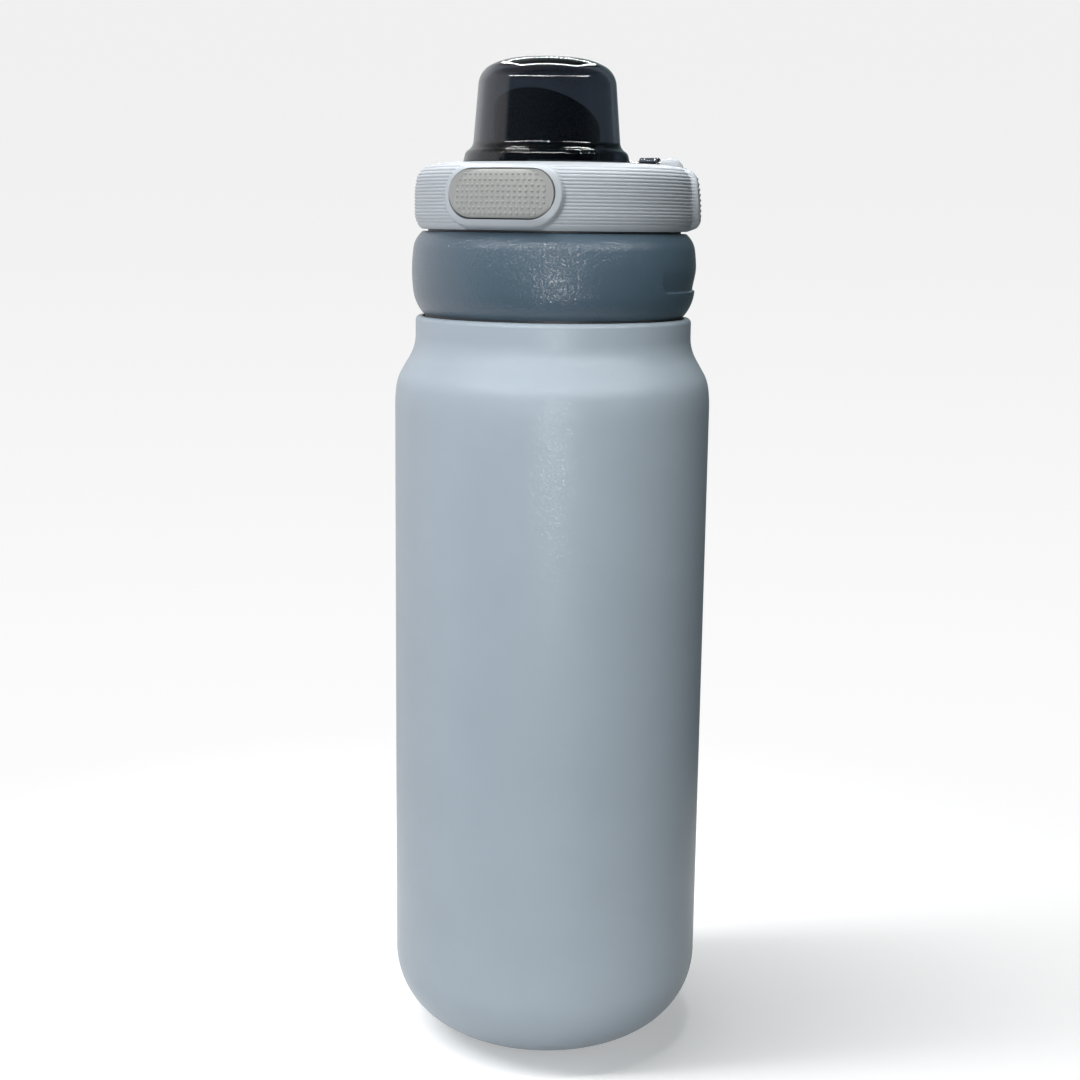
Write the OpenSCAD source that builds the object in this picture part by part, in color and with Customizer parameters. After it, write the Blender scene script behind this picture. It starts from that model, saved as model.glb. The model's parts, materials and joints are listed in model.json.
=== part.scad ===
// Vacuum water bottle with a two-stage screw lid and a smoked flip-up dome over the spout.
// Millimetres. The origin is the centre of the foot, +Z is up, and -Y is the side most often seen.

/* [Steel body] */
// Outside diameter of the body
body_d = 73; // [72:0.5:74]
// Height of the steel body up to the rim of its mouth
body_h = 171.3; // [165:0.1:180]
// Radius of the rounded foot
foot_r = 18; // [12:0.5:20]
// Outside radius of the neck
neck_r = 31.75; // [31.5:0.05:32]
// Wall of the painted outer shell
shell_wall = 0.75; // [0.6:0.05:0.9]
// Wall of the inner flask
flask_wall = 0.6; // [0.5:0.05:0.7]
// Vacuum space between the two walls
vacuum_gap = 1.75; // [1.5:0.05:2]

/* [Collar] */
// Height of the seam between the body and the collar
collar_z = 171.8; // [171.5:0.1:172]
// Height of the collar's top face
collar_top = 190.3; // [190:0.1:190.4]
// Radius of the collar's land in the mouth
land_r = 29.6; // [29.4:0.05:29.7]
// Radius of the drinking mouth's bore
mouth_r = 21.5; // [20:0.5:21.5]
// Height of the drinking mouth's lip
mouth_top = 196.9; // [196:0.1:197]
// Depth of the finger scoops
scoop_depth = 0.55; // [0.3:0.05:0.8]

/* [Lid ring] */
// Turn of the lid's front, seen from above, away from -Y
lid_turn = -22; // [-90:1:90]
// Height of the ring's lower edge
ring_z = 190.8; // [190.7:0.1:191]
// Height of the deck's upper face
deck_top = 205.3; // [205:0.1:205.5]
// Number of grip grooves round the ring
groove_count = 18; // [12:1:20]
// Distance between grip grooves
groove_pitch = 0.745; // [0.7:0.005:0.76]
// Angle of each side frame from the front
side_angle = 120; // [112:1:122]
// How far the oval frames stand out from the axis
frame_r = 33.4; // [33.2:0.1:33.6]

/* [Push pad] */
// Width of a dotted pad
pad_w = 24.2; // [22:0.1:25]
// Height of a dotted pad
pad_h = 10.3; // [9:0.1:11]
// Travel of the push pad
press_travel = 1.5; // [1:0.1:1.5]
// Gap round the push pad
pad_gap = 0.25; // [0.2:0.05:0.35]

/* [Dome and spout] */
// How far the dome sits in front of the bottle's axis
dome_shift = 5.4; // [5:0.1:6]
// Radius of the dome above its flared foot
dome_r = 16.45; // [16:0.05:17]
// Wall of the dome
dome_wall = 1.3; // [1.2:0.05:1.35]
// Outside radius of the spout
spout_r = 11.9; // [11:0.1:12]
// Bore radius of the spout
spout_bore = 9.9; // [8:0.1:10]
// Height of the middle of the slanted mouth
spout_mid_z = 215.2; // [212:0.1:216]
// Slant of the mouth from level
spout_slant = 29; // [20:1:32]

/* [Hinge] */
// Distance of the dome's hinge behind the bottle's axis
hinge_back = 20; // [19.5:0.1:20.5]
// Height of the hinge axis
hinge_z = 206; // [205.8:0.1:206.2]
// Radius of the knuckles and lugs
knuckle_r = 1.85; // [1.7:0.05:2]
// Radius of the hinge pin
pin_r = 0.9; // [0.8:0.05:1]

/* [Hidden] */
$fn = 96;

eps = 0.01;
slip = 0.05;            // radial clearance of a running fit
seat = 0.05;            // gap left between a seal and its seat
body_r = body_d / 2;

// Outline helpers. A slope is the angle of the outward normal above level.
// bend() runs along an arc from slope a to slope b: r > 0 bulges outward, r < 0 is hollow.
function bend(p, r, a, b, n = 8) =
    [for (i = [0:n]) let (t = a + (b - a) * i / n) p + r * [cos(t) - cos(a), sin(t) - sin(a)]];
function last(path) = path[len(path) - 1];
function inset(p, slope, t) = p - t * [cos(slope), sin(slope)];
function backward(path) = [for (i = [len(path) - 1:-1:0]) path[i]];

// ---- Steel body ----
lead_z = 150.5;         // the wall starts to lean in here
lead_r = 35;
lead_slope = 7.5;
brow_r = 10;            // outward curve of the shoulder
brow_slope = 30.3;
fall_h = 3;             // straight part of the shoulder
foot_flat_r = body_r - foot_r;

// The body's skin, moved inward by t
function skin_foot(t) = bend([foot_flat_r, t], foot_r - t, -90, 0, 12);
lead_end = last(bend([body_r, lead_z], lead_r, 0, lead_slope));
brow_end = last(bend(lead_end, brow_r, lead_slope, brow_slope));
fall_end = brow_end + [-fall_h * tan(brow_slope), fall_h];
hollow_r = (fall_end[0] - neck_r) / (1 - cos(brow_slope));
function skin_shoulder(t) = concat(
    bend([body_r - t, lead_z], lead_r - t, 0, lead_slope, 5),
    bend(inset(lead_end, lead_slope, t), brow_r - t, lead_slope, brow_slope, 6),
    bend(inset(fall_end, brow_slope, t), -hollow_r - t, brow_slope, 0, 8));

rim_r = 1.1;            // rounding of the rim's outer edge
mouth_bore = 30.2;      // bore of the steel mouth
lip_r = mouth_bore + flask_wall;
lip_h = 2.5;            // height of the welded lip

function lug_profile(r, depth, h) =
    [[r, -h / 2], [r, h / 2], [r + depth, h / 5], [r + depth, -h / 5]];

// Short thread starts: each one climbs along its arc, and starts are spread evenly.
// depth > 0 stands out from a shaft of radius r, depth < 0 stands into a bore.
module thread_starts(r, depth, h, z, starts, arc, lead) {
    climb = atan(lead / (2 * PI * r));
    root = depth > 0 ? r - 0.3 : r + 0.3;
    for (i = [0:starts - 1])
        rotate([0, 0, i * 360 / starts])
            translate([0, 0, z])
                rotate([climb, 0, 0])
                    rotate([0, 0, -arc / 2])
                        rotate_extrude(angle = arc)
                            polygon(lug_profile(root, depth + (r - root), h));
}

module outer_shell() {
    color([0.62, 0.68, 0.73])
        rotate_extrude()
            polygon(concat(
                skin_foot(0),
                skin_shoulder(0),
                bend([neck_r, body_h - rim_r], rim_r, 0, 75, 5),
                [[lip_r, body_h], [lip_r, body_h - lip_h], [neck_r - shell_wall, body_h - lip_h]],
                backward(skin_shoulder(shell_wall)),
                backward(skin_foot(shell_wall))));
}

cup_r = foot_flat_r - slip;
cup_h = 1.6;
module base_cup() {
    dish_r = 13;
    color([0.75, 0.76, 0.77])
        rotate_extrude()
            polygon([
                [0, cup_h], [cup_r, cup_h], [cup_r, 0.35], [cup_r - 0.35, 0], [cup_r - 3, 0],
                [dish_r, 0.9], [0, 0.9]]);
}

// The inner wall follows the outer one and then draws in to a throat
flask_r = body_r - shell_wall - vacuum_gap - flask_wall;
flask_floor = 8;
flask_foot_r = 15;
waist_z = 134;          // the flask starts to draw in here
waist_r = 9;
waist_slope = 48;
ledge_z = 149.6;        // sealing ledge under the mouth
function flask_path(t) = let (
        turn = last(bend([flask_r, waist_z], waist_r, 0, waist_slope)),
        throat = last(bend(turn, -waist_r, waist_slope, 0)))
    concat(
        bend([flask_r - flask_foot_r, flask_floor - t], flask_foot_r + t, -90, 0, 8),
        bend([flask_r + t, waist_z], waist_r + t, 0, waist_slope, 6),
        bend(inset(turn, waist_slope, -t), -waist_r + t, waist_slope, 0, 6),
        [[throat[0] + t, ledge_z - 2 * t], [mouth_bore + t, ledge_z - t]]);

neck_thread_z = 161.5;
neck_lead = 8;
thread_h = 2.2;
neck_thread_arc = 100;
module inner_flask() {
    color([0.78, 0.78, 0.77]) {
        rotate_extrude()
            polygon(concat(
                [[0, flask_floor - flask_wall]],
                flask_path(flask_wall),
                [[lip_r, body_h], [mouth_bore, body_h]],
                [[mouth_bore, ledge_z], [last(flask_path(0))[0] - 2.6, ledge_z]],
                backward([for (i = [0:len(flask_path(0)) - 3]) flask_path(0)[i]]),
                [[0, flask_floor]]));
        thread_starts(mouth_bore, -1.35, thread_h, neck_thread_z - 4.2, 3, neck_thread_arc, neck_lead);
    }
}

getter_r = 4;
module getter_disc() {
    color([0.5, 0.5, 0.52])
        translate([0, 0, flask_floor - flask_wall - 1.6])
            cylinder(r = getter_r, h = 1.6);
}

// ---- Collar ----
plug_r = 27.2;
plug_bottom = 150.3;
gasket_h = 2.9;
gasket_z = ledge_z + seat;
gasket_in = plug_r - 1.35;
module neck_gasket() {
    color([0.25, 0.26, 0.27])
        rotate_extrude()
            polygon([
                [gasket_in, gasket_z], [gasket_in + 2, gasket_z], [gasket_in + 2.65, gasket_z + 0.4],
                [gasket_in + 2.65, gasket_z + 0.9], [gasket_in + 2, gasket_z + 1.2],
                [gasket_in + 2, gasket_z + 1.7], [gasket_in + 2.5, gasket_z + 2.1],
                [gasket_in + 2.5, gasket_z + 2.6], [gasket_in + 2, gasket_z + gasket_h],
                [gasket_in, gasket_z + gasket_h]]);
}

// The collar is a barrel: its outline swells in the middle and tucks in at both seams
collar_low = [30.05, collar_z];
collar_foot = bend(collar_low, 10, -40, -7, 7);
collar_belly = bend(last(collar_foot), 36.8, -7, 8, 8);
collar_skin = concat(
    collar_foot,
    collar_belly,
    bend(last(collar_belly), 5.7, 8, 50, 7),
    [[30.1, collar_top]]);
collar_wall_r = land_r + slip;
plate_h = 2;            // top plate of the collar
insert_top = collar_top - plate_h - seat;
tube_r = 24;            // outside of the drinking mouth's tube

scoop_z = 177.5;
scoop_h = 7;
scoop_arc = 84;
scoop_angle = 111;      // from the front to the middle of a scoop
module scoop(side) {
    rotate([0, 0, lid_turn + side * scoop_angle - 90 - scoop_arc / 2])
        rotate_extrude(angle = scoop_arc)
            polygon([
                [32.5 - scoop_depth, scoop_z], [35, scoop_z], [35, scoop_z + scoop_h],
                [32.75, scoop_z + scoop_h]]);
}

module collar_shell() {
    color([0.36, 0.43, 0.48])
        difference() {
            rotate_extrude()
                polygon(concat(
                    [[collar_wall_r, collar_z]],
                    collar_skin,
                    [[tube_r + slip, collar_top], [tube_r + slip, collar_top - plate_h],
                        [collar_wall_r, collar_top - plate_h]]));
            scoop(1);
            scoop(-1);
        }
}

mouth_thread_z = 193.4;
mouth_lead = 5;
module collar_insert() {
    color([0.3, 0.33, 0.36]) {
        rotate_extrude()
            polygon([
                [24.6, plug_bottom], [gasket_in - slip, plug_bottom],
                [gasket_in - slip, gasket_z + gasket_h + slip], [plug_r, gasket_z + gasket_h + slip],
                [plug_r, 169], [land_r, 170.2], [land_r, insert_top], [27.9, insert_top],
                [27.9, 173.6], [tube_r, 173.6], [tube_r, mouth_top - 0.8], [tube_r - 0.8, mouth_top],
                [mouth_r + 0.8, mouth_top], [mouth_r, mouth_top - 0.8], [mouth_r, 172.3],
                [24.6, 168]]);
        thread_starts(plug_r, 1.35, thread_h, neck_thread_z, 3, neck_thread_arc, neck_lead);
        thread_starts(tube_r, 0.9, 1.5, mouth_thread_z, 3, 90, mouth_lead);
    }
}

// ---- Lid ----
core_bore = 26.2;
core_r = 27.6;
core_low = collar_top + seat;
ceiling_low = mouth_top + 1.3;
ceiling_top = ceiling_low + 1.8;
deck_low = deck_top - 2;
ring_bore = 29;

module lid_frame() {
    rotate([0, 0, lid_turn])
        children();
}

module on_dome_axis() {
    lid_frame()
        translate([0, -dome_shift, 0])
            children();
}

module mouth_gasket() {
    color([0.85, 0.86, 0.86])
        rotate_extrude()
            polygon([
                [20.9, mouth_top + seat], [24.6, mouth_top + seat], [25, mouth_top + 0.4],
                [25, ceiling_low - seat], [20.9, ceiling_low - seat], [20.5, mouth_top + 0.6]]);
}

socket_r = 13.2;        // bore of the socket that locates the spout's flange
socket_wall = 0.8;
module lid_core() {
    color([0.2, 0.22, 0.24])
        difference() {
            union() {
                rotate_extrude()
                    polygon([
                        [core_bore, core_low], [28.9, core_low], [28.9, core_low + 1.4],
                        [core_r, core_low + 1.4], [core_r, ceiling_top], [0, ceiling_top],
                        [0, ceiling_low], [core_bore, ceiling_low]]);
                thread_starts(core_bore, -0.95, 1.5, mouth_thread_z + 2.5, 3, 90, mouth_lead);
                on_dome_axis()
                    translate([0, 0, ceiling_top - eps])
                        cylinder(r = socket_r + socket_wall, h = deck_low - ceiling_top - seat + eps);
                spring_posts();
            }
            on_dome_axis() {
                translate([0, 0, ceiling_top])
                    cylinder(r = socket_r, h = 10);
                translate([0, 0, ceiling_low - 1])
                    cylinder(r = spout_bore, h = 10);
            }
        }
}

// Smooth outline of the ring before its grooves are cut
ring_belly = bend([32, 197.4], 22, 0, 14, 5);
ring_skin = concat(
    [[30.3, ring_z]],
    bend([30.84, ring_z + 0.4], 5.5, -38, 0, 6),
    ring_belly,
    bend(last(ring_belly), 3, 14, 80, 7),
    [[28, deck_top]]);
frame_foot = bend([frame_r - 1.7, ring_z + 0.3], 3.2, -62, 0, 6);
frame_belly = bend([frame_r, last(frame_foot)[1] + 0.4], 45, 0, 11, 6);
frame_skin = concat(
    frame_foot,
    frame_belly,
    bend(last(frame_belly), 2.4, 11, 75, 6),
    [[29.2, deck_top - 0.2]]);

groove_z = 192.2;
groove_depth = 0.26;
groove_flare = 1.5;     // half the width of a groove's V, 2 mm above its floor
module grip_grooves() {
    for (i = [0:groove_count - 1])
        translate([0, 0, groove_z + i * groove_pitch])
            rotate_extrude()
                polygon([
                    [groove_floor(i), 0], [groove_floor(i) + 2, -groove_flare],
                    [groove_floor(i) + 2, groove_flare]]);
}
// Radius of the ring's skin at a height, read off its outline
function skin_at(z, path, i = 0) =
    i > len(path) - 2 ? path[0][0] :
    z >= path[i][1] && z <= path[i + 1][1] && path[i + 1][1] > path[i][1]
        ? path[i][0] + (path[i + 1][0] - path[i][0]) * (z - path[i][1]) / (path[i + 1][1] - path[i][1])
        : skin_at(z, path, i + 1);
function groove_floor(i) = skin_at(groove_z + i * groove_pitch, ring_skin) - groove_depth;

// A stadium in the X-Z plane, pushed out along -Y
module stadium_bar(w, h, z, from_y, to_y) {
    translate([0, -from_y, z])
        rotate([90, 0, 0])
            linear_extrude(height = to_y - from_y)
                union() {
                    square([w - h, h], center = true);
                    for (side = [-1, 1])
                        translate([side * (w - h) / 2, 0])
                            circle(d = h);
                }
}

pad_z = 198.45;
frame_w = 27.4;
frame_h = 14;
flange_extra = 2;       // the push pad's flange is this much wider than the pad
flange_in = 29.9;
flange_out = 30.9;
module oval_frame(angle) {
    rotate([0, 0, angle])
        intersection() {
            rotate_extrude()
                polygon(concat([[ring_bore, ring_z + 0.5]], frame_skin, [[ring_bore, deck_top - 0.2]]));
            stadium_bar(frame_w, frame_h, pad_z, 20, 40);
        }
}

slot_w = 6.4;           // slot in the deck for the dome's tooth
slot_front = 25.8;
slot_back = 22.8;
trough_w = 37;
trough_r = knuckle_r + 0.35;
lug_w = 3.6;
lug_from = trough_w / 2;
gasket_seat_r = 16.8;
plate_front = 11.9;     // the hinge plate lies in a recess of the deck behind this line
plate_low = 204.2;

module upper_ring() {
    color([0.78, 0.8, 0.82])
        lid_frame()
            difference() {
                union() {
                    difference() {
                        rotate_extrude()
                            polygon(concat(
                                [[ring_bore, ring_z]], ring_skin,
                                [[spout_r, deck_top], [spout_r, deck_low], [ring_bore, deck_low]]));
                        grip_grooves();
                    }
                    for (angle = [0, side_angle, -side_angle])
                        oval_frame(angle);
                    hinge_lugs();
                }
                // bore round the spout and seat of the dome's gasket
                translate([0, -dome_shift, deck_low - 1]) {
                    cylinder(r = spout_r + 0.15, h = 5);
                    translate([0, 0, 1.9])
                        cylinder(r = gasket_seat_r, h = 5);
                }
                // windows of the push pad and of the two side pads
                stadium_bar(pad_w + 2 * pad_gap, pad_h + 2 * pad_gap, pad_z, 28.2, 40);
                for (angle = [side_angle, -side_angle])
                    rotate([0, 0, angle])
                        stadium_bar(pad_w + 0.1, pad_h + 0.1, pad_z, 26, 40);
                flange_pocket();
                // slot of the dome's tooth
                translate([-slot_w / 2, -slot_front, deck_low - 1])
                    cube([slot_w, slot_front - slot_back, 5]);
                // recess of the dome's hinge plate and trough of its knuckles
                translate([-trough_w / 2, plate_front - 0.3, plate_low - 0.25])
                    cube([trough_w, hinge_back - plate_front + 0.3, 5]);
                translate([-trough_w / 2, hinge_back, hinge_z])
                    rotate([0, 90, 0])
                        cylinder(r = trough_r, h = trough_w);
                hinge_bore();
            }
}

module flange_pocket() {
    intersection() {
        tube_between(20, flange_out + 0.15, 189, 203);
        stadium_bar(pad_w + flange_extra + 0.6, pad_h + flange_extra + 0.4, pad_z, 20, 40);
    }
}

module cylinder_between(r, from_z, to_z) {
    translate([0, 0, from_z])
        cylinder(r = r, h = to_z - from_z);
}

module tube_between(r_in, r_out, from_z, to_z) {
    difference() {
        cylinder_between(r_out, from_z, to_z);
        cylinder_between(r_in, from_z - 1, to_z + 1);
    }
}

module hinge_lugs() {
    for (side = [-1, 1])
        translate([side * (lug_from + lug_w / 2) - lug_w / 2, hinge_back, hinge_z])
            rotate([0, 90, 0])
                cylinder(r = knuckle_r, h = lug_w);
}

module hinge_bore() {
    translate([-pin_half, hinge_back, hinge_z])
        rotate([0, 90, 0])
            cylinder(r = pin_r + slip, h = 2 * pin_half);
}

pin_half = lug_from + lug_w - 0.8;
module hinge_pin() {
    color([0.7, 0.7, 0.72])
        lid_frame()
            translate([-pin_half + slip, hinge_back, hinge_z])
                rotate([0, 90, 0])
                    cylinder(r = pin_r, h = 2 * (pin_half - slip));
}

// ---- Spout ----
spout_low = ceiling_top + seat;
oring_z = spout_low + 1.35;
module spout() {
    color([0.08, 0.09, 0.1])
        on_dome_axis()
            difference() {
                union() {
                    cylinder_between(spout_r, spout_low, spout_mid_z + spout_r);
                    cylinder_between(socket_r - 0.1, spout_low, oring_z);
                }
                cylinder_between(spout_bore, spout_low - 1, spout_mid_z + 2 * spout_r);
                translate([0, 0, spout_mid_z])
                    rotate([-spout_slant, 0, 0])
                        translate([-2 * spout_r, -2 * spout_r, 0])
                            cube(4 * spout_r);
            }
}

oring_h = 1.2;
module spout_oring() {
    color([0.15, 0.15, 0.16])
        on_dome_axis()
            translate([0, 0, oring_z + oring_h / 2])
                rotate_extrude()
                    translate([(spout_r + socket_r) / 2, 0])
                        circle(d = oring_h, $fn = 24);
}

dome_foot_z = deck_top + 0.25;
gasket_root_r = 15;
gasket_low = deck_top - 1.05;
module dome_gasket() {
    color([0.2, 0.21, 0.22])
        on_dome_axis()
            rotate_extrude()
                polygon([
                    [gasket_root_r, gasket_low], [gasket_seat_r - 0.1, gasket_low],
                    [gasket_seat_r - 0.1, dome_foot_z - 0.3], [gasket_seat_r - 0.5, dome_foot_z - seat],
                    [gasket_root_r + 0.4, dome_foot_z - seat], [gasket_root_r, dome_foot_z - 0.3]]);
}

// ---- Dome ----
taper = 4.75;
flare_slope = 48;
flare_r = 3.8;
crown_r = 5;
dome_wall_z = 210.2;
crown_z = 222.65;
foot_out_r = 19.85;
crown_start = [dome_r - (crown_z - dome_wall_z) * tan(taper), crown_z];
dome_flare = [dome_r + flare_r * (cos(taper) - cos(flare_slope)),
    dome_wall_z - flare_r * (sin(flare_slope) - sin(taper))];
dome_brow = last(bend(crown_start, crown_r, taper, 62));
dome_cap_edge = last(bend(dome_brow, 14, 62, 83));
dome_top = dome_cap_edge[1] + dome_cap_edge[0] * tan(3.5);
dome_outside = concat(
    [[foot_out_r - 0.2, dome_foot_z], [foot_out_r, dome_foot_z + 0.3]],
    bend(dome_flare, -flare_r, flare_slope, taper, 6),
    bend(crown_start, crown_r, taper, 62, 6),
    bend(dome_brow, 14, 62, 83, 4),
    [[0, dome_top]]);
dome_ceiling = dome_top - 3;
// The inner wall runs parallel to the outer one, so the foot clears the spout's lip in its swing
crown_in = inset(crown_start, taper, dome_wall);
dome_inside = concat(
    [[crown_in[0] + (crown_in[1] - dome_foot_z) * tan(taper), dome_foot_z]],
    bend(crown_in, crown_r - dome_wall, taper, 60, 6),
    [[crown_start[0] - 5, dome_ceiling], [0, dome_ceiling]]);

tooth_w = 5.6;
tooth_front = 25.1;
tooth_back = 23.5;
tooth_low = 200.9;
nose_h = 1.1;
nose_w = 0.6;
plate_top = 205.9;
knuckle_w = 4.5;
knuckle_out = lug_from - 0.3;
module dome_cap() {
    color([0.12, 0.13, 0.14, 0.75])
        lid_frame()
            difference() {
                union() {
                    translate([0, -dome_shift, 0])
                        rotate_extrude()
                            polygon(concat(dome_outside, backward(dome_inside)));
                    hinge_plate();
                    // tooth that the latch holds
                    translate([-tooth_w / 2, -tooth_front, tooth_low])
                        cube([tooth_w, tooth_front - tooth_back, dome_foot_z - tooth_low + 0.2]);
                    translate([-tooth_w / 2, -tooth_back - eps, tooth_low])
                        cube([tooth_w, nose_w, nose_h]);
                }
                hinge_bore();
                // room for the springs between the knuckles
                translate([-knuckle_out + knuckle_w, hinge_back - 3.4, hinge_z - 3])
                    cube([2 * (knuckle_out - knuckle_w), 8, 6]);
            }
}

module hinge_plate() {
    translate([-knuckle_out, plate_front, plate_low])
        cube([2 * knuckle_out, hinge_back - plate_front, plate_top - plate_low]);
    translate([-knuckle_out, hinge_back, hinge_z])
        rotate([0, 90, 0])
            cylinder(r = knuckle_r, h = 2 * knuckle_out);
}

// ---- Springs ----
// A coil spring along +Z: a six-sided wire swept round a helix
wire_steps = 10;
module coil(r, wire, pitch, turns) {
    rings = floor(turns * wire_steps);
    sides = 6;
    points = [for (i = [0:rings]) let (a = 360 * i / wire_steps, z = pitch * i / wire_steps)
        for (k = [0:sides - 1]) let (b = 360 * k / sides)
            [(r + wire * cos(b)) * cos(a), (r + wire * cos(b)) * sin(a), z + wire * sin(b)]];
    walls = [for (i = [0:rings - 1]) for (k = [0:sides - 1]) let (m = (k + 1) % sides)
        [i * sides + k, i * sides + m, (i + 1) * sides + m, (i + 1) * sides + k]];
    polyhedron(
        points = points,
        faces = concat(
            [[for (k = [sides - 1:-1:0]) k]],
            walls,
            [[for (k = [0:sides - 1]) rings * sides + k]]));
}

spring_wire = 0.3;
dome_coil_r = 1.45;
dome_coil_turns = 7;
module dome_spring() {
    color([0.65, 0.65, 0.67])
        lid_frame()
            for (side = [-1, 1])
                translate([side * 8 - dome_coil_turns * 0.35, hinge_back, hinge_z])
                    rotate([0, 90, 0])
                        coil(dome_coil_r, spring_wire, 0.7, dome_coil_turns);
}

slide_z = ceiling_top + 0.2;
slide_h = 2.4;
slide_back = 21.6;
spring_x = 12.6;
button_coil_r = 0.95;
spring_from = 14.9;
spring_len = slide_back - spring_from - 0.1;
module spring_posts() {
    lid_frame()
        for (side = [-1, 1])
            translate([side * spring_x - 1.6, -spring_from + 0.05, ceiling_top - eps])
                cube([3.2, 1.6, slide_h]);
}

module button_springs() {
    color([0.65, 0.65, 0.67])
        lid_frame()
            for (side = [-1, 1])
                translate([side * spring_x, -spring_from - 0.35, slide_z + slide_h / 2])
                    rotate([90, 0, 0])
                        coil(button_coil_r, 0.22, 0.9, (spring_len - 0.6) / 0.9);
}

// ---- Push pad and latch ----
pad_in = 31.2;
pad_low = [32.95, 193.1];
pad_belly = bend([33.2, 194.3], 42, 0, 10, 5);
pad_skin = concat([pad_low], pad_belly, bend(last(pad_belly), 5, 10, 40, 4));
module pad_solid(w, h, inner) {
    intersection() {
        rotate_extrude()
            polygon(concat([[inner, pad_low[1]]], pad_skin, [[inner, last(pad_skin)[1]]]));
        stadium_bar(w, h, pad_z, 20, 40);
    }
}

module front_button() {
    color([0.6, 0.61, 0.6])
        lid_frame()
            pad_solid(pad_w, pad_h, pad_in);
}

// Carrier behind the push pad: a backing in the window, a flange that the window holds
// back, and an arm over the lid's core with a bridge behind the dome's tooth
arm_w = 30;
arm_r = 28.5;
neck_w = 23;
module latch_slide() {
    color([0.35, 0.36, 0.37])
        lid_frame() {
            intersection() {
                tube_between(flange_out - 0.1, pad_in - 0.02, 190, 206);
                stadium_bar(pad_w - 1, pad_h - 1, pad_z, 20, 40);
            }
            intersection() {
                tube_between(flange_in, flange_out, 190, 202.6);
                stadium_bar(pad_w + flange_extra, pad_h + flange_extra, pad_z, 20, 40);
            }
            difference() {
                intersection() {
                    union() {
                        cylinder_between(arm_r, slide_z, slide_z + slide_h);
                        translate([-neck_w / 2, -flange_out, slide_z])
                            cube([neck_w, 5, slide_h]);
                    }
                    cylinder_between(flange_in + 0.3, slide_z, slide_z + slide_h);
                    translate([-arm_w / 2, -flange_out, slide_z])
                        cube([arm_w, flange_out - slide_back, slide_h]);
                }
                // the tooth drops in here and has room while the pad travels
                translate([-slot_w / 2, -tooth_front - press_travel - 0.3, slide_z - 1])
                    cube([slot_w, tooth_front + press_travel + 0.3 - slot_back, slide_h + 2]);
            }
        }
}

module side_grip_right() {
    color([0.6, 0.61, 0.6])
        lid_frame()
            rotate([0, 0, side_angle])
                pad_solid(pad_w, pad_h, ring_bore + 0.4);
}

module side_grip_left() {
    color([0.6, 0.61, 0.6])
        lid_frame()
            rotate([0, 0, -side_angle])
                pad_solid(pad_w, pad_h, ring_bore + 0.4);
}

outer_shell();
base_cup();
inner_flask();
getter_disc();
neck_gasket();
collar_shell();
collar_insert();
mouth_gasket();
upper_ring();
lid_core();
spout();
spout_oring();
dome_gasket();
dome_cap();
hinge_pin();
dome_spring();
front_button();
latch_slide();
button_springs();
side_grip_right();
side_grip_left();
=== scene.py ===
"""An insulated bottle with a smoked flip-up dome: looks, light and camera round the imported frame.

Shapes are worked out in millimetres and turned into metres when a mesh is made. Lid parts are
made in the lid's own frame (u to its right, v to its back) and turned with it.
"""

import json
import math

import bpy
import numpy as np
from mathutils import Matrix, Vector

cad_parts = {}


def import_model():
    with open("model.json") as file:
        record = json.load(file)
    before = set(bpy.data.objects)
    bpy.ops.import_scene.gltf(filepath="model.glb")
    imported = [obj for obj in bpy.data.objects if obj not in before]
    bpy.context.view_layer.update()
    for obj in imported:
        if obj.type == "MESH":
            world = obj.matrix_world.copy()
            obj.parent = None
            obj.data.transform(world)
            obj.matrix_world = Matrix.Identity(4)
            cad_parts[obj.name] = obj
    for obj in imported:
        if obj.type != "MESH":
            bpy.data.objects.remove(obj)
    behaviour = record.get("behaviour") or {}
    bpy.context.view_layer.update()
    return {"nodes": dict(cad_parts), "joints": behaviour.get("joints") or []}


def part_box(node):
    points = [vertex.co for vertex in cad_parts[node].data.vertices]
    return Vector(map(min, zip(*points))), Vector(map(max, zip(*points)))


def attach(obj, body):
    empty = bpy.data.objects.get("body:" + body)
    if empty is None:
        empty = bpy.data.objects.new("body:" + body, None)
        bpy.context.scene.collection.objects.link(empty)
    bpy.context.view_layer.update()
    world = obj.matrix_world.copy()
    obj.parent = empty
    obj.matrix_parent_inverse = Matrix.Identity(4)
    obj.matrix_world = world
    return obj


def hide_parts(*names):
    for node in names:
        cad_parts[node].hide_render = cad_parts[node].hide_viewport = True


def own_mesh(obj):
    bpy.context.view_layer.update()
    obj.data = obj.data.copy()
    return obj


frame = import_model()
MM = 0.001
scene = bpy.context.scene


def size_of(node):
    """Lowest and highest corner of a CAD node, in millimetres."""
    low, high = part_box(node)
    return low / MM, high / MM


# ---- Driving sizes, from the frame ----
body_r = size_of("outer_shell")[1].x
body_top = size_of("outer_shell")[1].z
collar_low = size_of("collar_shell")[0].z
collar_top = size_of("collar_shell")[1].z
ring_low = size_of("upper_ring")[0].z
mouth_top = size_of("collar_insert")[1].z
dome_top = size_of("dome_cap")[1].z
dome_low, dome_high = size_of("dome_gasket")
dome_centre = (dome_low + dome_high) / 2
hinge = next(j for j in frame["joints"] if j["name"] == "dome_hinge")
button = next(j for j in frame["joints"] if j["name"] == "button_press")
hinge_at = Vector(hinge["pos_m"]) / MM
lid_turn = -math.atan2(button["axis"][0], button["axis"][1])
hinge_back = math.hypot(hinge_at.x, hinge_at.y)
dome_shift = math.hypot(dome_centre.x, dome_centre.y)


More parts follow.
